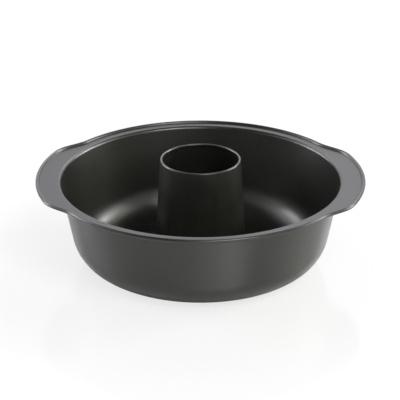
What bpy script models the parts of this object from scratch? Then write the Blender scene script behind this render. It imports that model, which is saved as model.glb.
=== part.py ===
"""Ring cake pan of non-stick coated sheet steel, as three pieces made the way the real pan is made.

The pan body is one deep-drawn sheet: a flat base with a raised seat round its centre hole, a rounded
lower corner, a tapered wall, a rounded lip, a flat flange that widens into two ears, and an edge
curled round a wire. The centre tube is a second sheet, tapered, with a rolled lip on top, and its foot
is locked to the hole's edge by a flattened double fold under the seat. The rim wire lies in the curl.

The origin is the centre of the base, on the surface that the pan stands on. +X runs through an ear,
+Z is up, and lengths are in metres.
"""

import math
from dataclasses import dataclass

import bmesh
import bpy

MM = 0.001

# Sheet and clearances
SHEET_THICKNESS = 0.6 * MM
FOLD_GAP = 0.3 * MM

# Pan body
OPENING_DIAMETER = 260.0 * MM
PAN_HEIGHT = 83.5 * MM
WALL_DRAFT = math.radians(12.5)
CORNER_RADIUS = 33.5 * MM
LIP_RADIUS = 3.0 * MM

# Flange, ears and curled edge
RIM_DIAMETER = 287.0 * MM
EAR_SPAN = 307.0 * MM
EAR_HALF_ANGLE = math.radians(30.2)
EAR_BLEND_ANGLE = math.radians(14.5)
WIRE_DIAMETER = 1.8 * MM
CREASE_RADIUS = 0.6 * MM
BEAD_RISE = 0.4 * MM

# Centre tube
TUBE_HEIGHT = 103.3 * MM
TUBE_TOP_DIAMETER = 75.0 * MM
TUBE_DRAFT = math.radians(3.6)
TUBE_LIP_DIAMETER = 2.2 * MM
TUBE_LIP_TURN = math.radians(230.0)

# Lock seam and the raised seat over it
LOCK_WIDTH = 4.0 * MM
LOCK_GROUND_CLEARANCE = 0.6 * MM
SEAT_MARGIN = 1.5 * MM
SEAT_STEP_RADIUS = 3.0 * MM
SEAT_STEP_ANGLE = math.radians(45.0)

# Mesh fineness
BODY_SEGMENTS = 52
EAR_BLEND_STEPS = 4
TUBE_SEGMENTS = 44
WIRE_SIDES = 6
FOLD_STEPS = 4
SEAT_STEPS = 2
CORNER_STEPS = 6
LIP_STEPS = 3
CREASE_STEPS = 2
CURL_STEPS = 9
FOOT_STEPS = 3
TUBE_LIP_STEPS = 6

# Coating and wire
COATING_COLOUR = (0.070, 0.070, 0.068, 1.0)
WIRE_COLOUR = (0.45, 0.45, 0.44, 1.0)

HALF_SHEET = SHEET_THICKNESS / 2
LAYER_PITCH = SHEET_THICKNESS + FOLD_GAP


@dataclass(frozen=True)
class SheetEnd:
    """A cut end of the sheet's middle line, where the line runs towards heading."""

    radius: float
    height: float
    heading: float

    def sides(self):
        """The sheet's left and right edge points here."""
        left = self.heading + math.pi / 2
        step = (HALF_SHEET * math.cos(left), HALF_SHEET * math.sin(left))
        return (
            [(self.radius + step[0], self.height + step[1])],
            [(self.radius - step[0], self.height - step[1])],
        )


@dataclass(frozen=True)
class Bend:
    """An arc of the sheet's middle line. A positive sweep turns left, a negative one right."""

    radius: float
    height: float
    bend_radius: float
    start: float
    sweep: float
    steps: int

    def sides(self):
        """The sheet's left and right points along the arc."""
        towards_left = -HALF_SHEET if self.sweep > 0 else HALF_SHEET
        left, right = [], []
        for step in range(self.steps + 1):
            angle = self.start + self.sweep * step / self.steps
            for points, reach in ((left, towards_left), (right, -towards_left)):
                across = self.bend_radius + reach
                points.append((self.radius + across * math.cos(angle), self.height + across * math.sin(angle)))
        return left, right


def sheet_outline(pieces):
    """The closed outline of a sheet whose middle line runs through ends and bends, straight between them."""
    left, right = [], []
    for piece in pieces:
        piece_left, piece_right = piece.sides()
        left += piece_left
        right += piece_right
    return left + right[::-1]


def tube_lip():
    """Centre radius and height of the tube's rolled lip, and its middle line's bend radius."""
    radius = TUBE_TOP_DIAMETER / 2 - TUBE_LIP_DIAMETER / 2
    height = TUBE_HEIGHT - TUBE_LIP_DIAMETER / 2
    return radius, height, TUBE_LIP_DIAMETER / 2 - HALF_SHEET


def seat_middle_height():
    """Height of the seat's middle line, over the three layers of the lock and their gaps."""
    return LOCK_GROUND_CLEARANCE + 3 * LAYER_PITCH + HALF_SHEET


def lock_centre():
    """Radius and height of the fold's centre line at the hole's edge, which the tube's foot wraps."""
    lip_radius, lip_height, bend_radius = tube_lip()
    height = seat_middle_height() - LAYER_PITCH
    line_radius = lip_radius + bend_radius * math.cos(TUBE_DRAFT)
    line_height = lip_height + bend_radius * math.sin(TUBE_DRAFT)
    wall_radius = line_radius + (line_height - height) * math.tan(TUBE_DRAFT)
    return wall_radius + 2 * LAYER_PITCH / math.cos(TUBE_DRAFT), height


def bead_bend_radius():
    """Bend radius of the curl's middle line round the wire."""
    return WIRE_DIAMETER / 2 + FOLD_GAP + HALF_SHEET


def rim_bead_radius():
    """Distance from the pan's axis to the curl's centre along the plain rim."""
    return RIM_DIAMETER / 2 - bead_bend_radius() - HALF_SHEET


def ear_reach():
    """How far an ear stands out past the plain rim."""
    return (EAR_SPAN - RIM_DIAMETER) / 2


def bead_height():
    """Height of the curl's centre and of the wire."""
    return PAN_HEIGHT - HALF_SHEET + BEAD_RISE


def bead_radius_at(angle):
    """Distance from the pan's axis to the curl's centre in the direction angle."""
    from_ear = abs(math.remainder(angle, math.pi))
    along = (from_ear - EAR_HALF_ANGLE) / EAR_BLEND_ANGLE + 0.5
    along = min(max(along, 0.0), 1.0)
    past_ear = along * along * (3 - 2 * along)
    return rim_bead_radius() + ear_reach() * (1 - past_ear)


def rim_angles():
    """Directions of the sections round the pan: even steps, and finer ones where an ear blends in."""
    blend_start = EAR_HALF_ANGLE - EAR_BLEND_ANGLE / 2
    blend_end = EAR_HALF_ANGLE + EAR_BLEND_ANGLE / 2
    step = math.tau / BODY_SEGMENTS
    across_ear = max(1, round(blend_start / step))
    to_side = max(1, round((math.pi / 2 - blend_end) / step))
    quarter = [blend_start * i / across_ear for i in range(across_ear)]
    quarter += [blend_start + EAR_BLEND_ANGLE * i / EAR_BLEND_STEPS for i in range(EAR_BLEND_STEPS)]
    quarter += [blend_end + (math.pi / 2 - blend_end) * i / to_side for i in range(to_side)]
    half = quarter + [math.pi / 2] + [math.pi - angle for angle in reversed(quarter[1:])]
    return half + [angle + math.pi for angle in half]


def seat_and_lock_bends():
    """The collar folded back under the seat, and the step from the seat down to the base."""
    hole_radius, fold_height = lock_centre()
    seat_height = seat_middle_height()
    fold_end = hole_radius + LOCK_WIDTH
    seat_end = fold_end + LAYER_PITCH + HALF_SHEET + SEAT_MARGIN
    drop = seat_height - HALF_SHEET
    rounded_drop = 2 * SEAT_STEP_RADIUS * (1 - math.cos(SEAT_STEP_ANGLE))
    slope_run = (drop - rounded_drop) / math.tan(SEAT_STEP_ANGLE)
    base_start = seat_end + 2 * SEAT_STEP_RADIUS * math.sin(SEAT_STEP_ANGLE) + slope_run
    return [
        SheetEnd(fold_end, fold_height - LAYER_PITCH, math.pi),
        Bend(hole_radius, fold_height, LAYER_PITCH, -math.pi / 2, -math.pi, FOLD_STEPS),
        Bend(seat_end, seat_height - SEAT_STEP_RADIUS, SEAT_STEP_RADIUS, math.pi / 2, -SEAT_STEP_ANGLE, SEAT_STEPS),
        Bend(
            base_start,
            HALF_SHEET + SEAT_STEP_RADIUS,
            SEAT_STEP_RADIUS,
            -math.pi / 2 - SEAT_STEP_ANGLE,
            SEAT_STEP_ANGLE,
            SEAT_STEPS,
        ),
    ]


def corner_and_lip_bends():
    """The rounded lower corner and the rounded lip, with the tapered wall between them."""
    lip_bend = LIP_RADIUS - HALF_SHEET
    lip_centre = OPENING_DIAMETER / 2 + LIP_RADIUS
    lip_height = PAN_HEIGHT - LIP_RADIUS
    corner_bend = CORNER_RADIUS - HALF_SHEET
    turn = math.pi / 2 - WALL_DRAFT
    wall_top_radius = lip_centre - lip_bend * math.cos(WALL_DRAFT)
    wall_top_height = lip_height + lip_bend * math.sin(WALL_DRAFT)
    wall_foot_height = CORNER_RADIUS - corner_bend * math.sin(WALL_DRAFT)
    wall_foot_radius = wall_top_radius - (wall_top_height - wall_foot_height) * math.tan(WALL_DRAFT)
    corner_centre = wall_foot_radius - corner_bend * math.cos(WALL_DRAFT)
    return [
        Bend(corner_centre, CORNER_RADIUS, corner_bend, -math.pi / 2, turn, CORNER_STEPS),
        Bend(lip_centre, lip_height, lip_bend, math.pi - WALL_DRAFT, -turn, LIP_STEPS),
    ]


def curl_bends(bead_radius):
    """The crease at the flange's edge and the curl round the wire, whose centre is at bead_radius.

    The curl stops where its end keeps the fold gap to the underside of the crease.
    """
    crease_bend = CREASE_RADIUS + HALF_SHEET
    curl_bend = bead_bend_radius()
    spacing = crease_bend + curl_bend
    turn_up = math.acos((crease_bend - BEAD_RISE) / spacing)
    crease_centre = bead_radius - spacing * math.sin(turn_up)
    crease_height = PAN_HEIGHT - HALF_SHEET + crease_bend
    curl_start = turn_up + math.pi / 2
    curl_outer = curl_bend + HALF_SHEET
    keep_out = crease_bend + HALF_SHEET + FOLD_GAP
    mouth = math.acos((curl_outer**2 + spacing**2 - keep_out**2) / (2 * curl_outer * spacing))
    return [
        Bend(crease_centre, crease_height, crease_bend, -math.pi / 2, turn_up, CREASE_STEPS),
        Bend(bead_radius, bead_height(), curl_bend, curl_start, mouth - math.tau, CURL_STEPS),
    ]


def body_section(angle):
    """The pan body's closed section in the direction angle, as (radius, height) points."""
    fixed = seat_and_lock_bends() + corner_and_lip_bends()
    return sheet_outline(fixed + curl_bends(bead_radius_at(angle)))


def tube_section():
    """The centre tube's closed section: return, fold, foot round the hole's edge, wall and rolled lip."""
    hole_radius, fold_height = lock_centre()
    fold_end = hole_radius + LOCK_WIDTH
    lip_radius, lip_height, lip_bend = tube_lip()
    foot_turn = math.pi / 2 - TUBE_DRAFT
    return sheet_outline(
        [
            SheetEnd(hole_radius, fold_height, 0.0),
            Bend(fold_end, fold_height - LAYER_PITCH, LAYER_PITCH, math.pi / 2, -math.pi, FOLD_STEPS),
            Bend(hole_radius, fold_height, 2 * LAYER_PITCH, -math.pi / 2, -foot_turn, FOOT_STEPS),
            Bend(lip_radius, lip_height, lip_bend, TUBE_DRAFT, TUBE_LIP_TURN, TUBE_LIP_STEPS),
        ]
    )


def wire_section(angle):
    """The rim wire's round section in the direction angle."""
    centre_radius, centre_height = bead_radius_at(angle), bead_height()
    turns = [math.tau * side / WIRE_SIDES for side in range(WIRE_SIDES)]
    reach = WIRE_DIAMETER / 2
    return [(centre_radius + reach * math.cos(turn), centre_height + reach * math.sin(turn)) for turn in turns]


def ring_mesh(name, angles, section_at):
    """A closed ring lofted through the sections that section_at gives in each of the directions."""
    form = bmesh.new()
    rings = []
    for angle in angles:
        points = [
            (radius * math.cos(angle), radius * math.sin(angle), height) for radius, height in section_at(angle)
        ]
        rings.append([form.verts.new(point) for point in points])
    for ring, following in zip(rings, rings[1:] + rings[:1]):
        for i, vertex in enumerate(ring):
            j = (i + 1) % len(ring)
            form.faces.new((vertex, ring[j], following[j], following[i]))
    bmesh.ops.recalc_face_normals(form, faces=form.faces)
    mesh = bpy.data.meshes.new(name)
    form.to_mesh(mesh)
    form.free()
    mesh.shade_smooth()
    mesh.set_sharp_from_angle(angle=math.radians(40.0))
    return mesh


def finish(name, colour, roughness, metallic):
    """A plain finish for one piece."""
    material = bpy.data.materials.new(name)
    material.use_nodes = True
    shader = material.node_tree.nodes["Principled BSDF"]
    shader.inputs["Base Color"].default_value = colour
    shader.inputs["Roughness"].default_value = roughness
    shader.inputs["Metallic"].default_value = metallic
    return material


def add_piece(name, mesh, material):
    """Puts a piece in the scene under its name, with its material."""
    mesh.materials.append(material)
    piece = bpy.data.objects.new(name, mesh)
    bpy.context.scene.collection.objects.link(piece)
    return piece


def clear_scene():
    """Removes whatever the scene holds."""
    for existing in list(bpy.data.objects):
        bpy.data.objects.remove(existing, do_unlink=True)


def main():
    """Builds the pan body, the centre tube and the rim wire."""
    clear_scene()
    even_angles = [math.tau * i / TUBE_SEGMENTS for i in range(TUBE_SEGMENTS)]
    coating = finish("non_stick_coating", COATING_COLOUR, 0.38, 0.0)
    steel = finish("bare_steel_wire", WIRE_COLOUR, 0.35, 1.0)
    add_piece("pan_body", ring_mesh("pan_body", rim_angles(), body_section), coating)
    add_piece("centre_tube", ring_mesh("centre_tube", even_angles, lambda angle: tube_section()), coating)
    add_piece("rim_wire", ring_mesh("rim_wire", rim_angles(), wire_section), steel)


main()
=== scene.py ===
"""Looks of a ring cake pan: its sheet steel body, centre tube and rim wire, made finely.

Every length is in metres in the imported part's own frame. The origin is the centre of the base, +X
runs through an ear handle and +Z is up. Sections are worked out as (radius, height) pairs in a
plane through the pan's axis, and Geometry Nodes sweep them round it.
"""

import logging
import math
from dataclasses import astuple, dataclass, replace
from enum import Enum
from typing import Union

import bpy
from bpy.types import Material, Mesh, Node, Object
from bpy.types import NodeSocket as Socket
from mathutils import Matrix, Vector


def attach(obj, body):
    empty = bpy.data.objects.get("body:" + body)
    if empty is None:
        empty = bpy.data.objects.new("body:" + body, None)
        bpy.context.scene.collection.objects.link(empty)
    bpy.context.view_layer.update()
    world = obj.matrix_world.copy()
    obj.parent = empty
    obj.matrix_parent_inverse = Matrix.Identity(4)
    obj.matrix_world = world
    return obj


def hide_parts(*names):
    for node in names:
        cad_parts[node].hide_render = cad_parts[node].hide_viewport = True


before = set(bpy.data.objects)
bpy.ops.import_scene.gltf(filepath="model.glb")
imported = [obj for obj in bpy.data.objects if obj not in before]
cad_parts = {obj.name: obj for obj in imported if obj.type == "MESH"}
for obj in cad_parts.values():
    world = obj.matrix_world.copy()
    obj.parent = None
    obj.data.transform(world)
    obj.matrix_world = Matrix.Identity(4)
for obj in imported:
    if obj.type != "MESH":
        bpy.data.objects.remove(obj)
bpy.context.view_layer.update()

MM = 0.001
BODY = "root"
SHARP_EDGE = math.radians(40.0)
WELD_DISTANCE = 0.001 * MM
QUARTER = math.pi / 2
NOISE_SPAN = (0.3, 0.7)  # nearly all of a noise node's values lie in here
MIX_COLOURS, MIX_RESULT = (6, 7), 2  # numbers of a Mix node's colour sockets

SocketValue = Union[float, int, str, bool, tuple, Socket, Material, None]
Inputs = dict[Union[str, int], SocketValue]
Colour = tuple[float, float, float]
Paint = Union[Colour, Socket]
log = logging.getLogger("ring_cake_pan")


class Slot(Enum):
    """The record's material slots."""

    BODY_COATING = "non_stick_coating"
    TUBE_COATING = "tube_coating"
    WIRE = "wire_steel"


class SurfaceMark(Enum):
    """Names of the values that a section's or a swept sheet's points keep."""

    RIM_SHARE = "rim_share"
    RUB = "rub"
    UNROLLED = "UVMap"


class TreeKind(Enum):
    """What a node group is for."""

    GEOMETRY = "GeometryNodeTree"
    SHADER = "ShaderNodeTree"


class Kind(Enum):
    """What a node group's socket carries."""

    NUMBER = "NodeSocketFloat"
    COUNT = "NodeSocketInt"
    COLOUR = "NodeSocketColor"
    SHAPE = "NodeSocketGeometry"
    FINISH = "NodeSocketMaterial"


Sockets = dict[str, Union[Kind, float]]


@dataclass(frozen=True)
class Station:
    """A place on a sheet's middle line.

    Attributes:
        radius: distance from the pan's axis.
        height: height over the base.
        heading: direction that the line runs in there, from the outward radius towards up.
        rim_share: how much of the ears' reach the place moves out by, from 0 to 1.
        rub: how much the coating is rubbed there by hands and cloths, from 0 to 1.
    """

    radius: float
    height: float
    heading: float
    rim_share: float = 0.0
    rub: float = 0.0

    def face_point(self, offset: float) -> tuple[float, float]:
        """The point of a face that lies offset to the left of the middle line."""
        left = self.heading + QUARTER
        return self.radius + offset * math.cos(left), self.height + offset * math.sin(left)

    def stations(self) -> list["Station"]:
        """The station alone, as the cut end of a sheet."""
        return [self]


@dataclass(frozen=True)
class Bend:
    """An arc of a sheet's middle line. A positive sweep turns left, a negative one right.

    Attributes:
        radius: distance from the pan's axis to the arc's centre.
        height: height of the arc's centre.
        bend_radius: radius of the arc.
        start: direction from the arc's centre to where the line enters it.
        sweep: angle that the line turns by.
        step_angle: largest angle between stations.
        rim_share, rub: what a station keeps under these names, the same all along the arc.
    """

    radius: float
    height: float
    bend_radius: float
    start: float
    sweep: float
    step_angle: float
    rim_share: float = 0.0
    rub: float = 0.0

    def stations(self) -> list[Station]:
        """Even stations from the arc's start to its end."""
        steps = math.ceil(abs(self.sweep) / self.step_angle)
        turning = math.copysign(QUARTER, self.sweep)
        found = []
        for step in range(steps + 1):
            angle = self.start + self.sweep * step / steps
            radius = self.radius + self.bend_radius * math.cos(angle)
            height = self.height + self.bend_radius * math.sin(angle)
            found.append(Station(radius, height, angle + turning, self.rim_share, self.rub))
        return found


@dataclass(frozen=True)
class BendSteps:
    """Largest angles between the stations of each bend, finer where the bend is wide or shows."""

    fold: float = math.radians(15.0)
    tube_foot: float = math.radians(8.0)
    seat: float = math.radians(7.5)
    corner: float = math.radians(3.4)
    lip: float = math.radians(6.0)
    curl: float = math.radians(11.0)


STEPS = BendSteps()


@dataclass(frozen=True)
class StraightRun:
    """How the straight runs between bends are divided, with a close station beside each bend."""

    longest_step: float = 4.5 * MM
    beside_bend: float = 0.25 * MM
    shortest_run: float = 0.75 * MM

    def between(self, first: Station, last: Station) -> list[Station]:
        """Stations on a straight line between two others, all with the first's heading."""
        length = math.hypot(last.radius - first.radius, last.height - first.height)
        if length < self.shortest_run:
            return []
        near, far = self.beside_bend / length, 1 - self.beside_bend / length
        steps = math.ceil((far - near) * length / self.longest_step)
        shares = [near + (far - near) * step / steps for step in range(steps + 1)]
        pairs = list(zip(astuple(first), astuple(replace(last, heading=first.heading))))
        return [Station(*(a + (b - a) * share for a, b in pairs)) for share in shares]


@dataclass(frozen=True)
class SheetSection:
    """The closed section of a sheet whose middle line runs through ends and bends.

    Attributes:
        line: the ends and bends in the order that the line passes them.
        thickness: the sheet's thickness, the same all along.
        runs: how straight runs are divided.
    """

    line: tuple[Union[Station, Bend], ...]
    thickness: float
    runs: StraightRun = StraightRun()

    def stations(self) -> list[Station]:
        """Every station of the middle line."""
        found: list[Station] = []
        for piece in self.line:
            here = piece.stations()
            if found:
                found += self.runs.between(found[-1], here[0])
            found += here
        return found

    def as_mesh(self, name: str) -> Mesh:
        """A mesh of the outline's points in order, x as radius, z as height, with their marks."""
        stations = self.stations()
        points, shares, rubs = [], [], []
        for side, ordered in ((1, stations), (-1, stations[::-1])):
            for station in ordered:
                radius, height = station.face_point(side * self.thickness / 2)
                points.append((radius, 0.0, height))
                shares.append(station.rim_share)
                rubs.append(station.rub)
        mesh = bpy.data.meshes.new(name)
        mesh.from_pydata(points, [], [])
        for mark, values in ((SurfaceMark.RIM_SHARE, shares), (SurfaceMark.RUB, rubs)):
            mesh.attributes.new(mark.value, "FLOAT", "POINT").data.foreach_set("value", values)
        return mesh


class Wiring:
    """Adds nodes to a node tree and joins them."""

    def __init__(self, tree: bpy.types.NodeTree) -> None:
        """Keeps the tree that the nodes go into."""
        self.tree = tree

    def feed(self, target: Socket, value: SocketValue) -> None:
        """Joins a socket to an input, or sets the input to a plain value."""
        if isinstance(value, Socket):
            self.tree.links.new(value, target)
        else:
            target.default_value = value

    def fill(self, node: Node, inputs: Inputs) -> None:
        """Feeds a node's inputs, by their names or numbers."""
        for key, value in inputs.items():
            self.feed(node.inputs[key], value)

    def node(self, kind: str, inputs: Inputs, **settings: object) -> Node:
        """Adds a node.

        Args:
            kind: the node's type name.
            inputs: a socket to join or a plain value, for each input's name or number.
            settings: the node's own properties.

        Returns:
            The new node.
        """
        made = self.tree.nodes.new(kind)
        for name, value in settings.items():
            setattr(made, name, value)
        self.fill(made, inputs)
        return made

    def result(self, kind: str, inputs: Inputs, **settings: object) -> Socket:
        """The first output of a new node."""
        return self.node(kind, inputs, **settings).outputs[0]

    def math(self, operation: str, *values: SocketValue) -> Socket:
        """The result of a Math node on its values."""
        return self.result("ShaderNodeMath", dict(enumerate(values)), operation=operation)

    def spread(self, value: SocketValue, *span: SocketValue, **settings: object) -> Socket:
        """A value mapped from a low and a high to a bottom and a top, and held there outside."""
        names = ("From Min", "From Max", "To Min", "To Max")
        inputs = {"Value": value, **dict(zip(names, span))}
        return self.result("ShaderNodeMapRange", inputs, **settings)

    def smooth_step(
        self, value: Socket, middle: Socket, width: SocketValue, *levels: SocketValue
    ) -> Socket:
        """A change from one level to another as a value passes a middle, over a width round it."""
        half = self.math("MULTIPLY", width, 0.5)
        low, high = self.math("SUBTRACT", middle, half), self.math("ADD", middle, half)
        return self.spread(value, low, high, *levels, interpolation_type="SMOOTHSTEP")

    def noise(
        self, place: Socket, feature: SocketValue, detail: float, roughness: float = 0.5
    ) -> Socket:
        """A noise value over a place vector, with features about that many metres wide."""
        scale = self.math("DIVIDE", 1.0, feature)
        inputs = {"Vector": place, "Scale": scale, "Detail": detail, "Roughness": roughness}
        return self.result("ShaderNodeTexNoise", inputs)

    def object_place(self) -> Socket:
        """The place on the piece, in its own Object coordinates."""
        return self.node("ShaderNodeTexCoord", {}).outputs["Object"]

    def blend(self, share: Socket, first: Paint, second: Paint) -> Socket:
        """A mix of two colours by a share."""
        node = self.node("ShaderNodeMix", {"Factor": share}, data_type="RGBA")
        for number, value in zip(MIX_COLOURS, (first, second)):
            self.feed(node.inputs[number], value if isinstance(value, Socket) else (*value, 1.0))
        return node.outputs[MIX_RESULT]

    def mix_shaders(self, share: SocketValue, first: Socket, second: Socket) -> Socket:
        """A mix of two shaders by a share."""
        return self.result("ShaderNodeMixShader", {0: share, 1: first, 2: second})


class NodeGroup(Wiring):
    """A node group with named sockets."""

    def __init__(self, name: str, kind: TreeKind, inputs: Sockets, outputs: Sockets) -> None:
        """Makes the group with its Group Input and Group Output nodes.

        Args:
            name: the group's name.
            kind: what the group is for.
            inputs: for each input's name, its kind, or the default value of a number.
            outputs: for each output's name, its kind.
        """
        super().__init__(bpy.data.node_groups.new(name, kind.value))
        for way, sockets in (("INPUT", inputs), ("OUTPUT", outputs)):
            for label, facts in sockets.items():
                carried = facts if isinstance(facts, Kind) else Kind.NUMBER
                made = self.tree.interface.new_socket(label, in_out=way, socket_type=carried.value)
                if carried is not facts:
                    made.default_value = facts
        self.given = self.tree.nodes.new("NodeGroupInput").outputs
        self.wanted = self.tree.nodes.new("NodeGroupOutput").inputs


@dataclass(frozen=True)
class RimOutline:
    """How far the curled edge stands from the pan's axis, all the way round.

    Attributes:
        bead_radius: distance to the curl's centre along the plain rim.
        bead_height: height of the curl's centre.
        ear_reach: how far an ear stands out past the plain rim.
        ear_half_angle: half of the angle that an ear takes up, to the middle of its blend.
        ear_blend_angle: angle over which an ear runs back into the rim.
    """

    bead_radius: float
    bead_height: float
    ear_reach: float = 10.0 * MM
    ear_half_angle: float = math.radians(30.2)
    ear_blend_angle: float = math.radians(14.5)

    def reach_group(self) -> NodeGroup:
        """A group that turns a direction into how far the rim reaches out there."""
        sockets = {
            "Direction": Kind.NUMBER,
            "Ear Reach": self.ear_reach,
            "Ear Half Angle": self.ear_half_angle,
            "Ear Blend Angle": self.ear_blend_angle,
        }
        outputs = {"Reach": Kind.NUMBER}
        group = NodeGroup("rim_reach", TreeKind.GEOMETRY, sockets, outputs)
        given = group.given
        from_ear = group.math("PINGPONG", given["Direction"], QUARTER)
        reach = group.smooth_step(
            from_ear, given["Ear Half Angle"], given["Ear Blend Angle"], given["Ear Reach"], 0.0
        )
        group.feed(group.wanted["Reach"], reach)
        return group


class Sweep(NodeGroup):
    """A Geometry Nodes tree that sweeps a part of the pan, finish and all."""

    def __init__(self, name: str, reach: NodeGroup, sockets: Sockets) -> None:
        """Makes the tree with its geometry, segments and finish.

        Args:
            name: the tree's name.
            reach: the group that says how far the rim reaches out in a direction.
            sockets: the kinds of the tree's own named inputs.
        """
        self.reach = reach
        shared = {"Geometry": Kind.SHAPE, "Segments": Kind.COUNT, "Finish": Kind.FINISH}
        outputs = {"Geometry": Kind.SHAPE}
        super().__init__(name, TreeKind.GEOMETRY, {**shared, **sockets}, outputs)

    def reached(self, inputs: Inputs) -> Socket:
        """How far the rim reaches out in a direction."""
        return self.result("GeometryNodeGroup", inputs, node_tree=self.reach.tree)

    def around(self, radius: Socket, direction: Socket, height: Socket) -> Socket:
        """The place at a distance from the pan's axis in a direction, at a height."""
        across = {
            "X": self.math("MULTIPLY", radius, self.math("COSINE", direction)),
            "Y": self.math("MULTIPLY", radius, self.math("SINE", direction)),
            "Z": height,
        }
        return self.result("ShaderNodeCombineXYZ", across)

    def hand_out(self, shape: Socket) -> None:
        """Makes the shape real, gives it its material and puts it out."""
        shape = self.result("GeometryNodeRealizeInstances", {0: shape})
        inputs = {"Geometry": shape, "Material": self.given["Finish"]}
        self.feed(self.wanted["Geometry"], self.result("GeometryNodeSetMaterial", inputs))


class SheetSweep(Sweep):
    """The tree that turns a section's loop of points into a closed ring of sheet."""

    def __init__(self, reach: NodeGroup) -> None:
        """Builds the tree round the group for the rim's reach."""
        super().__init__(
            "sheet_sweep", reach, {"Ear Reach": Kind.NUMBER, "Unrolled Width": Kind.NUMBER}
        )
        section, segments = self.given["Geometry"], self.given["Segments"]
        count = self.node("GeometryNodeAttributeDomainSize", {0: section}).outputs["Point Count"]
        row = self.math("ADD", count, 1.0)
        rings = self.math("ADD", segments, 1.0)
        grid = self.node("GeometryNodeMeshGrid", {"Vertices X": rings, "Vertices Y": row})
        index = self.result("GeometryNodeInputIndex", {})
        ring = self.math("FLOOR", self.math("DIVIDE", self.math("ADD", index, 0.5), row))
        along = self.math("SUBTRACT", index, self.math("MULTIPLY", ring, row))
        share_round = self.math("DIVIDE", ring, segments)
        direction = self.math("MULTIPLY", share_round, math.tau)
        place = self.math("MODULO", along, count)
        position = self.result("GeometryNodeInputPosition", {})
        sampled = self.sampled(section, position, place, "FLOAT_VECTOR")
        parts = self.node("ShaderNodeSeparateXYZ", {0: sampled}).outputs
        reached = self.reached({"Direction": direction, "Ear Reach": self.given["Ear Reach"]})
        share = self.marked(section, SurfaceMark.RIM_SHARE, place)
        radius = self.math("ADD", parts["X"], self.math("MULTIPLY", reached, share))
        where = self.around(radius, direction, parts["Z"])
        inputs = {"Geometry": grid.outputs["Mesh"], "Position": where}
        shape = self.result("GeometryNodeSetPosition", inputs)
        rubbed = self.marked(section, SurfaceMark.RUB, place)
        shape = self.stored(shape, SurfaceMark.RUB, rubbed, "FLOAT", "POINT")
        unrolled = {
            "X": self.math("MULTIPLY", share_round, self.given["Unrolled Width"]),
            "Y": self.math("DIVIDE", along, count),
        }
        flat = self.result("ShaderNodeCombineXYZ", unrolled)
        shape = self.stored(shape, SurfaceMark.UNROLLED, flat, "FLOAT2", "CORNER")
        shape = self.result("GeometryNodeMergeByDistance", {0: shape, "Distance": WELD_DISTANCE})
        self.hand_out(self.result("GeometryNodeFlipFaces", {0: shape}))

    def sampled(self, section: Socket, value: Socket, place: Socket, kind: str) -> Socket:
        """A section point's value, by the point's number."""
        inputs = {"Geometry": section, "Value": value, "Index": place}
        return self.result("GeometryNodeSampleIndex", inputs, data_type=kind)

    def marked(self, section: Socket, mark: SurfaceMark, place: Socket) -> Socket:
        """The value that a section point keeps under a mark."""
        inputs = {"Name": mark.value}
        kept = self.result("GeometryNodeInputNamedAttribute", inputs, data_type="FLOAT")
        return self.sampled(section, kept, place, "FLOAT")

    def stored(
        self, shape: Socket, mark: SurfaceMark, value: Socket, kind: str, domain: str
    ) -> Socket:
        """The shape with a value kept on it under a mark."""
        inputs = {"Geometry": shape, "Name": mark.value, "Value": value}
        name = "GeometryNodeStoreNamedAttribute"
        return self.result(name, inputs, data_type=kind, domain=domain)


class WireSweep(Sweep):
    """The tree that runs a round wire along the rim."""

    def __init__(self, reach: NodeGroup) -> None:
        """Builds the tree round the group for the rim's reach."""
        sizes = dict.fromkeys(("Rim Radius", "Height", "Wire Radius"), Kind.NUMBER)
        super().__init__("wire_sweep", reach, {"Sides": Kind.COUNT, **sizes})
        segments = self.given["Segments"]
        path = self.circle(segments, 1.0)
        index = self.result("GeometryNodeInputIndex", {})
        direction = self.math("MULTIPLY", self.math("DIVIDE", index, segments), math.tau)
        reached = self.reached({"Direction": direction})
        radius = self.math("ADD", self.given["Rim Radius"], reached)
        where = self.around(radius, direction, self.given["Height"])
        rim = self.result("GeometryNodeSetPosition", {"Geometry": path, "Position": where})
        profile = self.circle(self.given["Sides"], self.given["Wire Radius"])
        inputs = {"Curve": rim, "Profile Curve": profile}
        self.hand_out(self.result("GeometryNodeCurveToMesh", inputs))

    def circle(self, points: Socket, radius: SocketValue) -> Socket:
        """A circle of that many points."""
        inputs = {"Resolution": points, "Radius": radius}
        return self.node("GeometryNodeCurvePrimitiveCircle", inputs).outputs["Curve"]


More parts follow.
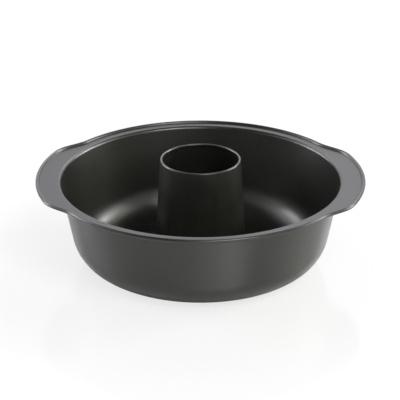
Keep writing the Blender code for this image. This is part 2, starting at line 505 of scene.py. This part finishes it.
class SweptPart:
    """A part of the pan that a tree sweeps from a starting mesh.

    Attributes:
        piece_name: name of the finished piece.
        cad_node: the CAD node that the piece stands for.
        slot: the record's material slot of its finish; nothing here reads it.
    """

    piece_name: str
    cad_node: str
    slot: Slot

    def start(self) -> Mesh:
        """The mesh that the sweep starts from."""
        raise NotImplementedError

    def measures(self) -> dict[str, float]:
        """A value for each of the tree's named inputs, but not the finish."""
        raise NotImplementedError

    def build(self, sweep: Sweep, finish: Material) -> Object:
        """Sweeps the part and rides it on the pan in place of its CAD node.

        Args:
            sweep: the tree.
            finish: the part's material.

        Returns:
            The piece at the origin, with no modifier left on it.
        """
        piece = bpy.data.objects.new(self.piece_name, self.start())
        bpy.context.scene.collection.objects.link(piece)
        modifier = piece.modifiers.new("sweep", "NODES")
        modifier.node_group = sweep.tree
        values = {**self.measures(), "Finish": finish}
        for item in sweep.tree.interface.items_tree:
            if item.in_out == "INPUT" and item.name in values:
                modifier[item.identifier] = values[item.name]
        evaluated = piece.evaluated_get(bpy.context.evaluated_depsgraph_get())
        mesh = bpy.data.meshes.new_from_object(evaluated)
        while mesh.materials[0] is None:
            mesh.materials.pop(index=0)
        piece.modifiers.clear()
        piece.data = mesh
        mesh.name = self.piece_name
        mesh.shade_smooth()
        mesh.set_sharp_from_angle(angle=SHARP_EDGE)
        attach(piece, BODY)
        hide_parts(self.cad_node)
        log.info("%s stands for %s, with %d faces", piece.name, self.cad_node, len(mesh.polygons))
        return piece


class SheetPart(SweptPart):
    """A part made of sheet, whose section is swept round the pan's axis."""

    segments: int

    def section(self) -> SheetSection:
        """The part's section."""
        raise NotImplementedError

    def reach_and_radius(self) -> tuple[float, float]:
        """How far the ears stand out, and the radius that the unrolled width is taken at."""
        raise NotImplementedError

    def start(self) -> Mesh:
        """The section's points."""
        return self.section().as_mesh(f"{self.cad_node}_section")

    def measures(self) -> dict[str, float]:
        """The part's values for the sheet sweep."""
        reach, radius = self.reach_and_radius()
        width = math.tau * radius
        return {"Segments": self.segments, "Ear Reach": reach, "Unrolled Width": width}


class CoatingGrain(NodeGroup):
    """A group for a baked-on coating: fine flecks, orange peel and broad uneven patches."""

    def __init__(self) -> None:
        """Builds the group, from the size and the detail of each grain."""
        grains = {"Fleck": (0.5 * MM, 1.0), "Peel": (2.2 * MM, 2.0), "Patch": (45.0 * MM, 3.0)}
        sockets = {f"{name} Size": size for name, (size, _) in grains.items()}
        outputs = dict.fromkeys(grains, Kind.NUMBER)
        super().__init__("coating_grain", TreeKind.SHADER, sockets, outputs)
        place = self.object_place()
        for name, (_, detail) in grains.items():
            found = self.noise(place, self.given[f"{name} Size"], detail)
            self.feed(self.wanted[name], self.spread(found, *NOISE_SPAN, 0.0, 1.0))


class EdgeRub(NodeGroup):
    """A group for where hands and cloths rub a coating: the kept rub value, broken up by noise."""

    breakup_span = (0.35, 0.65)

    def __init__(self) -> None:
        """Builds the group on the kept rub value."""
        sockets = {"Amount": 0.5, "Breakup Size": 6.0 * MM}
        super().__init__("edge_rub", TreeKind.SHADER, sockets, {"Mask": Kind.NUMBER})
        mark = self.node("ShaderNodeAttribute", {}, attribute_name=SurfaceMark.RUB.value)
        size = self.given["Breakup Size"]
        found = self.noise(self.object_place(), size, detail=4.0, roughness=0.6)
        broken = self.spread(found, *self.breakup_span, 0.0, 1.0)
        rubbed = self.math("MULTIPLY", mark.outputs["Fac"], broken)
        self.feed(self.wanted["Mask"], self.math("MULTIPLY", rubbed, self.given["Amount"]))


def new_material(name: str) -> tuple[Material, Wiring, Node]:
    """A new material, its wiring and its Principled shader."""
    made = bpy.data.materials.new(name)
    made.use_nodes = True
    return made, Wiring(made.node_tree), made.node_tree.nodes["Principled BSDF"]


@dataclass(frozen=True)
class NonStickCoating:
    """A satin dark grey non-stick coating.

    Attributes:
        name: the material's name.
        dark: colour between the flecks.
        light: colour of the flecks.
        rubbed: colour where the coating is rubbed.
        index: refractive index of the coating's surface.
        roughness: lowest and highest roughness over the patches.
        fleck_roughness: how much rougher a fleck is.
        rub_amount: how strongly rubbed places show.
        peel_height: height of the orange peel.
    """

    name: str
    dark: Colour = (0.0081, 0.0081, 0.0062)
    light: Colour = (0.0119, 0.0119, 0.009)
    rubbed: Colour = (0.026, 0.026, 0.024)
    index: float = 1.7
    roughness: tuple[float, float] = (0.265, 0.30)
    fleck_roughness: float = 0.03
    rub_amount: float = 0.35
    peel_height: float = 0.004 * MM

    def material(self, grain: CoatingGrain, rub: EdgeRub) -> Material:
        """Builds the material from the shared grain and rub groups."""
        made, wiring, shader = new_material(self.name)
        grains = wiring.node("ShaderNodeGroup", {}, node_tree=grain.tree).outputs
        amount = {"Amount": self.rub_amount}
        rubs = wiring.result("ShaderNodeGroup", amount, node_tree=rub.tree)
        flecked = wiring.blend(grains["Fleck"], self.dark, self.light)
        satin = wiring.spread(grains["Patch"], 0.0, 1.0, *self.roughness)
        fine = wiring.math("MULTIPLY", grains["Fleck"], self.fleck_roughness)
        peel = {"Height": grains["Peel"], "Distance": self.peel_height, "Strength": 1.0}
        inputs = {
            "Base Color": wiring.blend(rubs, flecked, self.rubbed),
            "Roughness": wiring.math("ADD", satin, fine),
            "IOR": self.index,
            "Normal": wiring.result("ShaderNodeBump", peel),
        }
        wiring.fill(shader, inputs)
        return made


@dataclass(frozen=True)
class DrawnSteel:
    """Bare drawn steel wire, with fine scratches and a little dulling.

    Attributes:
        name: the material's name.
        bright: colour of the bright steel.
        dull: colour of the dulled steel.
        roughness: lowest and highest roughness over the scratches.
        scratch_size: width of the scratches' pattern.
        scratch_depth: depth of the scratches.
        scratch_strength: how strongly they show.
    """

    name: str
    bright: Colour = (0.50, 0.50, 0.49)
    dull: Colour = (0.38, 0.38, 0.375)
    roughness: tuple[float, float] = (0.28, 0.42)
    scratch_size: float = 0.4 * MM
    scratch_depth: float = 0.01 * MM
    scratch_strength: float = 0.6

    def material(self) -> Material:
        """Builds the material."""
        made, wiring, shader = new_material(self.name)
        drawn = wiring.noise(wiring.object_place(), self.scratch_size, detail=3.0)
        scratches = {
            "Height": drawn,
            "Distance": self.scratch_depth,
            "Strength": self.scratch_strength,
        }
        inputs = {
            "Base Color": wiring.blend(drawn, self.dull, self.bright),
            "Metallic": 1.0,
            "Roughness": wiring.spread(drawn, *NOISE_SPAN, *self.roughness),
            "Normal": wiring.result("ShaderNodeBump", scratches),
        }
        wiring.fill(shader, inputs)
        return made


@dataclass(frozen=True)
class SheetStock:
    """The sheet of the body and the tube, and the clearance that their folds keep."""

    thickness: float = 0.6 * MM
    fold_gap: float = 0.3 * MM

    @property
    def half(self) -> float:
        """Half of the sheet's thickness."""
        return self.thickness / 2

    @property
    def pitch(self) -> float:
        """Distance between the middles of folded layers."""
        return self.thickness + self.fold_gap


@dataclass(frozen=True)
class CentreTube(SheetPart):
    """The tapered centre tube, with its rolled lip and its foot folded round the body's hole.

    Attributes:
        stock: the sheet that it is made of.
        height: height of its lip over the base.
        top_diameter: width across its lip.
        draft: angle that its wall leans in by.
        lip_diameter: thickness of the rolled lip.
        lip_turn: angle that the lip rolls through.
        lock_width: width of the flattened fold.
        lock_layers: layers of sheet in the fold under the body's seat.
        ground_clearance: height of the fold over the base.
        segments: steps round the tube.
    """

    stock: SheetStock
    height: float = 103.3 * MM
    top_diameter: float = 75.0 * MM
    draft: float = math.radians(3.6)
    lip_diameter: float = 2.2 * MM
    lip_turn: float = math.radians(230.0)
    lock_width: float = 4.0 * MM
    lock_layers: int = 3
    ground_clearance: float = 0.6 * MM
    segments: int = 224

    piece_name = "centre_tube_sheet"
    cad_node = "centre_tube"
    slot = Slot.TUBE_COATING

    @property
    def lip_bend(self) -> float:
        """Bend radius of the lip's middle line."""
        return self.lip_diameter / 2 - self.stock.half

    @property
    def lip_centre(self) -> tuple[float, float]:
        """Radius and height of the rolled lip's centre."""
        return self.top_diameter / 2 - self.lip_diameter / 2, self.height - self.lip_diameter / 2

    @property
    def foot_bend(self) -> float:
        """Bend radius of the foot, which wraps the body's collar at the hole's edge."""
        return 2 * self.stock.pitch

    @property
    def seat_height(self) -> float:
        """Height of the middle of the body's raised seat, over the lock."""
        return self.ground_clearance + self.lock_layers * self.stock.pitch + self.stock.half

    @property
    def lock_centre(self) -> tuple[float, float]:
        """Radius and height of the fold's centre line at the hole's edge."""
        lip_radius, lip_height = self.lip_centre
        height = self.seat_height - self.stock.pitch
        line_radius = lip_radius + self.lip_bend * math.cos(self.draft)
        line_height = lip_height + self.lip_bend * math.sin(self.draft)
        wall_radius = line_radius + (line_height - height) * math.tan(self.draft)
        return wall_radius + self.foot_bend / math.cos(self.draft), height

    def section(self) -> SheetSection:
        """The tube's section: return, fold, foot round the hole's edge, wall and rolled lip."""
        hole, fold_height = self.lock_centre
        fold_end = hole + self.lock_width
        pitch = self.stock.pitch
        foot_turn = self.draft - QUARTER
        lip = (*self.lip_centre, self.lip_bend, self.draft, self.lip_turn)
        line = (
            Station(hole, fold_height, 0.0),
            Bend(fold_end, fold_height - pitch, pitch, QUARTER, -math.pi, STEPS.fold),
            Bend(hole, fold_height, self.foot_bend, -QUARTER, foot_turn, STEPS.tube_foot),
            Bend(*lip, STEPS.curl, rub=1.0),
        )
        return SheetSection(line, self.stock.thickness)

    def reach_and_radius(self) -> tuple[float, float]:
        """No ears, and the lip's radius."""
        return 0.0, self.lip_centre[0]


@dataclass(frozen=True)
class PanBody(SheetPart):
    """The drawn body: lock and seat, flat base, corner, wall, lip, flange and curled edge.

    Attributes:
        stock: the sheet that it is made of.
        tube: the tube whose foot it holds.
        opening_diameter: width of the opening between the lips.
        height: height of the flange.
        wall_draft: angle that the wall leans out by.
        corner_radius: outside radius of the lower corner.
        lip_radius: outside radius of the lip.
        lip_rub: how much the lip's coating is rubbed.
        rim_diameter: width across the plain rim.
        wire_diameter: thickness of the wire in the curl.
        crease_radius: outside radius of the crease inside the curl.
        bead_rise: height of the curl's centre over the flange's middle.
        seat_margin: width of the seat past the lock.
        seat_step_radius: radius of the bends between seat and base.
        seat_step_angle: slope between seat and base.
        segments: steps round the pan.
    """

    stock: SheetStock
    tube: CentreTube
    opening_diameter: float = 260.0 * MM
    height: float = 83.5 * MM
    wall_draft: float = math.radians(11.6)
    corner_radius: float = 36.2 * MM
    lip_radius: float = 3.0 * MM
    lip_rub: float = 0.7
    rim_diameter: float = 287.0 * MM
    wire_diameter: float = 1.8 * MM
    crease_radius: float = 0.6 * MM
    bead_rise: float = 0.4 * MM
    seat_margin: float = 1.5 * MM
    seat_step_radius: float = 3.0 * MM
    seat_step_angle: float = math.radians(45.0)
    segments: int = 320

    piece_name = "pan_body_sheet"
    cad_node = "pan_body"
    slot = Slot.BODY_COATING

    @property
    def curl_bend(self) -> float:
        """Bend radius of the curl's middle line round the wire."""
        return self.wire_diameter / 2 + self.stock.fold_gap + self.stock.half

    def rim(self) -> RimOutline:
        """Where the curled edge runs."""
        bead_radius = self.rim_diameter / 2 - self.curl_bend - self.stock.half
        return RimOutline(bead_radius, self.height - self.stock.half + self.bead_rise)

    def seat_and_lock(self) -> list[Union[Station, Bend]]:
        """The collar folded back under the seat, and the step from the seat down to the base."""
        half, pitch, step = self.stock.half, self.stock.pitch, self.seat_step_radius
        hole, fold_height = self.tube.lock_centre
        seat_height = self.tube.seat_height
        fold_end = hole + self.tube.lock_width
        seat_end = fold_end + pitch + half + self.seat_margin
        slope = self.seat_step_angle
        slope_drop = seat_height - half - 2 * step * (1 - math.cos(slope))
        base_start = seat_end + 2 * step * math.sin(slope) + slope_drop / math.tan(slope)
        return [
            Station(fold_end, fold_height - pitch, math.pi),
            Bend(hole, fold_height, pitch, -QUARTER, -math.pi, STEPS.fold),
            Bend(seat_end, seat_height - step, step, QUARTER, -slope, STEPS.seat),
            Bend(base_start, half + step, step, -QUARTER - slope, slope, STEPS.seat),
        ]

    def corner_and_lip(self) -> list[Bend]:
        """The rounded lower corner and the rounded lip, with the tapered wall between them."""
        draft = self.wall_draft
        lip_bend = self.lip_radius - self.stock.half
        corner_bend = self.corner_radius - self.stock.half
        lip_centre = self.opening_diameter / 2 + self.lip_radius
        lip_height = self.height - self.lip_radius
        turn = QUARTER - draft
        top_radius = lip_centre - lip_bend * math.cos(draft)
        top_height = lip_height + lip_bend * math.sin(draft)
        foot_height = self.corner_radius - corner_bend * math.sin(draft)
        foot_radius = top_radius - (top_height - foot_height) * math.tan(draft)
        corner = (foot_radius - corner_bend * math.cos(draft), self.corner_radius, corner_bend)
        lip = (lip_centre, lip_height, lip_bend)
        return [
            Bend(*corner, -QUARTER, turn, STEPS.corner),
            Bend(*lip, math.pi - draft, -turn, STEPS.lip, rub=self.lip_rub),
        ]

    def curl(self) -> list[Bend]:
        """The crease at the flange's edge and the curl round the wire."""
        rim = self.rim()
        crease_bend = self.crease_radius + self.stock.half
        spacing = crease_bend + self.curl_bend
        turn_up = math.acos((crease_bend - self.bead_rise) / spacing)
        outer = self.curl_bend + self.stock.half
        keep_out = crease_bend + self.stock.half + self.stock.fold_gap
        mouth = math.acos((outer**2 + spacing**2 - keep_out**2) / (2 * outer * spacing))
        crease_height = self.height - self.stock.half + crease_bend
        crease = (rim.bead_radius - spacing * math.sin(turn_up), crease_height, crease_bend)
        curl = (rim.bead_radius, rim.bead_height, self.curl_bend)
        curl_sweep = mouth - math.tau
        return [
            Bend(*crease, -QUARTER, turn_up, STEPS.curl, rim_share=1.0),
            Bend(*curl, turn_up + QUARTER, curl_sweep, STEPS.curl, rim_share=1.0, rub=1.0),
        ]

    def section(self) -> SheetSection:
        """The body's section along the plain rim."""
        line = (*self.seat_and_lock(), *self.corner_and_lip(), *self.curl())
        return SheetSection(line, self.stock.thickness)

    def reach_and_radius(self) -> tuple[float, float]:
        """The ears' reach, and the curl's radius."""
        return self.rim().ear_reach, self.rim().bead_radius


@dataclass(frozen=True)
class RimWire(SweptPart):
    """The round wire that the body's edge is curled round.

    Attributes:
        rim: where the curled edge runs.
        diameter: the wire's thickness.
        segments: steps round the pan.
        sides: steps round the wire.
    """

    rim: RimOutline
    diameter: float
    segments: int = 320
    sides: int = 14

    piece_name = "rim_wire_round"
    cad_node = "rim_wire"
    slot = Slot.WIRE

    def start(self) -> Mesh:
        """An empty mesh, because the tree makes the wire itself."""
        return bpy.data.meshes.new("wire_start")

    def measures(self) -> dict[str, float]:
        """The wire's values for the wire sweep."""
        return {
            "Segments": self.segments,
            "Sides": self.sides,
            "Rim Radius": self.rim.bead_radius,
            "Height": self.rim.bead_height,
            "Wire Radius": self.diameter / 2,
        }


class Tint(Enum):
    """Colours that a light panel's light can have."""

    PLAIN = (1.01, 1.025, 0.985)
    WARM = (1.035, 1.02, 0.96)
    COOL = (0.985, 0.985, 1.035)


@dataclass(frozen=True)
class LightPanel:
    """A panel of light far off in the room, which fills a range of directions.

    Attributes:
        name: what the panel is.
        start, end: the directions that it starts and ends at, in degrees from +X towards +Y.
        low, high: its lowest and highest angle over the floor, in degrees.
        radiance: how bright it is, where 1 is white.
        tint: colour of its light.
    """

    name: str
    start: float
    end: float
    low: float
    high: float
    radiance: float
    tint: Tint = Tint.PLAIN

    def sockets(self) -> dict[str, SocketValue]:
        """The panel's values for the panel group's inputs, in radians."""
        first, last, low, high = map(math.radians, (self.start, self.end, self.low, self.high))
        return {
            "Middle": (first + last) / 2,
            "Half Width": (last - first) / 2,
            "Low": low,
            "High": high,
            "Radiance": self.radiance,
            "Tint": (*self.tint.value, 1.0),
        }


class PanelGlow(NodeGroup):
    """A group for what a light panel sends in a direction, with a soft edge all round."""

    def __init__(self, edge: float) -> None:
        """Builds the group, for panels that fade over the angle edge at their edges."""
        labels = ("Azimuth", "Elevation", "Middle", "Half Width", "Low", "High", "Radiance")
        sockets = {**dict.fromkeys(labels, Kind.NUMBER), "Tint": Kind.COLOUR}
        super().__init__("panel_glow", TreeKind.SHADER, sockets, {"Light": Kind.COLOUR})
        given = self.given
        turned = self.math("SUBTRACT", given["Azimuth"], given["Middle"])
        aside = self.math("ABSOLUTE", self.math("WRAP", turned, math.pi, -math.pi))
        across = self.smooth_step(aside, given["Half Width"], edge, 1.0, 0.0)
        over = self.smooth_step(given["Elevation"], given["Low"], edge, 0.0, 1.0)
        under = self.smooth_step(given["Elevation"], given["High"], edge, 1.0, 0.0)
        inside = self.math("MULTIPLY", across, self.math("MULTIPLY", over, under))
        level = self.math("MULTIPLY", inside, given["Radiance"])
        inputs = {"Vector": given["Tint"], "Scale": level}
        light = self.result("ShaderNodeVectorMath", inputs, operation="SCALE")
        self.feed(self.wanted["Light"], light)


def grey(level: float) -> tuple[float, float, float, float]:
    """An opaque grey."""
    return level, level, level, 1.0


@dataclass(frozen=True)
class Studio:
    """A pale floor with a soft gloss, in a dark room with soft light panels and a pale backdrop.

    Attributes:
        panels: the light panels.
        panel_edge: angle over which a panel fades at its edges.
        floor_half_width: half of the floor's width.
        floor_colour: the floor's own grey level.
        floor_roughness: roughness of the floor's gloss.
        floor_index: refractive index of the floor's surface.
        floor_shadow: how strongly the camera sees the floor's shadow on its plain white.
        shown_colour: the floor's grey level in what the camera sees of its shadow.
        shown_sheen: strongest gloss that the camera sees, so that low views stay white.
    """

    panels: tuple[LightPanel, ...]
    panel_edge: float = math.radians(2.0)
    floor_half_width: float = 6.0
    floor_colour: float = 0.8
    floor_roughness: float = 0.12
    floor_index: float = 2.0
    floor_shadow: float = 0.26
    shown_colour: float = 0.9
    shown_sheen: float = 0.16

    def build(self) -> None:
        """Makes the room and the floor."""
        self.room()
        self.floor()

    def room(self) -> None:
        """Sets the world: light panels in the dark for the pan, and white for the camera."""
        world = bpy.data.worlds.new("studio_room")
        bpy.context.scene.world = world
        world.use_nodes = True
        wiring = Wiring(world.node_tree)
        way = wiring.node("ShaderNodeTexCoord", {}).outputs["Generated"]
        parts = wiring.node("ShaderNodeSeparateXYZ", {0: way}).outputs
        facing = {
            "Azimuth": wiring.math("ARCTAN2", parts["Y"], parts["X"]),
            "Elevation": wiring.math("ARCSINE", parts["Z"]),
        }
        glow = PanelGlow(self.panel_edge)
        light: SocketValue = (0.0, 0.0, 0.0)
        for panel in self.panels:
            inputs = {**panel.sockets(), **facing}
            facts = {"node_tree": glow.tree, "label": panel.name}
            shown = wiring.result("ShaderNodeGroup", inputs, **facts)
            light = wiring.result("ShaderNodeVectorMath", {0: light, 1: shown}, operation="ADD")
        rays = wiring.node("ShaderNodeLightPath", {}).outputs
        seen = wiring.math("MAXIMUM", rays["Is Camera Ray"], rays["Is Transmission Ray"])
        colour = wiring.blend(seen, light, (1.0, 1.0, 1.0))
        wiring.feed(world.node_tree.nodes["Background"].inputs["Color"], colour)

    def floor(self) -> None:
        """Lays the floor, which hides nothing from a camera under it."""
        half = self.floor_half_width
        corners = [(-half, -half, 0), (half, -half, 0), (half, half, 0), (-half, half, 0)]
        mesh = bpy.data.meshes.new("floor")
        mesh.from_pydata(corners, [], [(0, 1, 2, 3)])
        mesh.materials.append(self.floor_material())
        floor = bpy.data.objects.new("floor", mesh)
        bpy.context.scene.collection.objects.link(floor)

    def floor_material(self) -> Material:
        """White floor with a soft gloss, whose shadow and reflection the camera sees softened."""
        made, wiring, principled = new_material("pale_floor")
        tree = made.node_tree
        tree.nodes.remove(principled)
        rays = wiring.node("ShaderNodeLightPath", {}).outputs
        matt = wiring.result("ShaderNodeBsdfDiffuse", {"Color": grey(self.floor_colour)})
        gloss = wiring.result("ShaderNodeBsdfGlossy", {"Roughness": self.floor_roughness})
        sheen = wiring.result("ShaderNodeFresnel", {"IOR": self.floor_index})
        lit = wiring.mix_shaders(sheen, matt, gloss)
        mirrored = wiring.mix_shaders(rays["Is Glossy Ray"], matt, lit)
        white = wiring.result("ShaderNodeEmission", {"Strength": 1.0})
        pale = wiring.result("ShaderNodeBsdfDiffuse", {"Color": grey(self.shown_colour)})
        held = wiring.math("MINIMUM", sheen, self.shown_sheen)
        soft = wiring.mix_shaders(held, pale, gloss)
        shown = wiring.mix_shaders(self.floor_shadow, white, soft)
        front = wiring.mix_shaders(rays["Is Camera Ray"], mirrored, shown)
        clear = wiring.result("ShaderNodeBsdfTransparent", {})
        behind = wiring.node("ShaderNodeNewGeometry", {}).outputs["Backfacing"]
        whole = wiring.mix_shaders(behind, front, clear)
        wiring.feed(tree.nodes["Material Output"].inputs["Surface"], whole)
        return made


@dataclass(frozen=True)
class ViewingCamera:
    """The camera at the photograph's viewing angle.

    Attributes:
        target_height: height on the pan's axis that the distance and angles are taken from.
        look_height: height on the axis that the camera looks at.
        look_aside: how far to the right of the axis the camera looks.
        distance: distance from the target.
        elevation: angle over the floor.
        turn: angle that the camera stands to the right of the pan's front.
        lens: focal length in millimetres, on Blender's own 36 mm sensor.
        clip: nearest and farthest distance that is shown.
    """

    target_height: float = 45.0 * MM
    look_height: float = 61.2 * MM
    look_aside: float = -0.45 * MM
    distance: float = 2.0
    elevation: float = math.radians(24.02)
    turn: float = math.radians(1.6)
    lens: float = 191.6
    clip: tuple[float, float] = (0.05, 50.0)

    def place(self) -> None:
        """Puts the camera in the scene and makes it the scene's own."""
        data = bpy.data.cameras.new("camera")
        data.lens = self.lens
        data.clip_start, data.clip_end = self.clip
        camera = bpy.data.objects.new("camera", data)
        level = self.distance * math.cos(self.elevation)
        camera.location = (
            level * math.sin(self.turn),
            -level * math.cos(self.turn),
            self.target_height + self.distance * math.sin(self.elevation),
        )
        looking = Vector((self.look_aside, 0.0, self.look_height)) - camera.location
        camera.rotation_euler = looking.to_track_quat("-Z", "Y").to_euler()
        bpy.context.scene.collection.objects.link(camera)
        bpy.context.scene.camera = camera


def panel_set(name: str, tint: Tint, *rows: tuple) -> tuple[LightPanel, ...]:
    """The panels of one light, from rows of their names, start to high, and radiances."""
    return tuple(LightPanel(f"{name}, {row[0]}", *row[1:], tint) for row in rows)


PANELS = (
    *panel_set(
        "right softbox",
        Tint.WARM,
        ("near side, foot", -5, 9, 0, 8, 2.42),
        ("near side, low", -5, 9, 8, 16, 9.00),
        ("near side, high", -5, 9, 16, 32, 3.63),
        ("near side, top", -5, 9, 32, 45, 2.51),
        ("foot", 9, 30, 0, 8, 6.61),
        ("low", 9, 30, 8, 16, 7.14),
        ("high", 9, 20, 16, 32, 7.14),
        ("far side, high", 20, 30, 16, 32, 18.77),
        ("top", 9, 30, 32, 45, 1.67),
    ),
    *panel_set(
        "left softbox",
        Tint.COOL,
        ("far side, low", 147, 159, 0, 16, 8.79),
        ("foot", 159, 178, 0, 8, 7.41),
        ("low", 159, 178, 8, 16, 8.85),
        ("near side", 168, 178, 16, 24, 0.79),
        ("far side, high", 147, 159, 24, 32, 8.38),
        ("high", 159, 178, 24, 32, 8.66),
        ("top", 147, 178, 32, 45, 2.04),
    ),
    *panel_set(
        "front softbox",
        Tint.PLAIN,
        ("low", -88, -44, 3, 20, 0.71),
        ("middle", -88, -44, 20, 40, 2.74),
        ("top left", -88, -66, 40, 60, 4.31),
        ("top right", -66, -44, 40, 60, 9.96),
    ),
    *panel_set(
        "backdrop",
        Tint.COOL,
        ("low, right", 50, 75, 0, 25, 0.98),
        ("low", 75, 130, 0, 25, 1.07),
        ("high, right", 50, 75, 25, 45, 4.59),
        ("high, middle right", 75, 92, 25, 45, 2.10),
        ("high, middle left", 92, 105, 25, 45, 1.18),
        ("high, left", 105, 130, 25, 45, 3.32),
    ),
    LightPanel("ceiling", -180, 180, 75, 90, 0.59, Tint.COOL),
    *panel_set(
        "room",
        Tint.PLAIN,
        ("right front", -44, -5, 5, 45, 0.67),
        ("front left", -135, -88, 5, 50, 0.07),
        ("left front", 202, 225, 5, 45, 0.47),
        ("left", 178, 202, 5, 45, 1.03),
        ("left, behind", 130, 147, 0, 45, 0.69),
        ("right, behind", 30, 50, 0, 45, 0.49),
    ),
)


def main() -> None:
    """Builds the pan's pieces, the studio and the camera."""
    logging.basicConfig(level=logging.INFO, format="%(name)s: %(message)s")
    bpy.context.scene.view_settings.view_transform = "Standard"
    stock = SheetStock()
    tube = CentreTube(stock)
    body = PanBody(stock, tube)
    rim = body.rim()
    coating = NonStickCoating("non_stick_coating").material(CoatingGrain(), EdgeRub())
    reach = rim.reach_group()
    sheet_sweep, wire_sweep = SheetSweep(reach), WireSweep(reach)
    body.build(sheet_sweep, coating)
    tube.build(sheet_sweep, coating)
    steel = DrawnSteel("wire_steel").material()
    RimWire(rim, body.wire_diameter).build(wire_sweep, steel)
    Studio(PANELS).build()
    ViewingCamera().place()


if __name__ == "__main__":
    main()
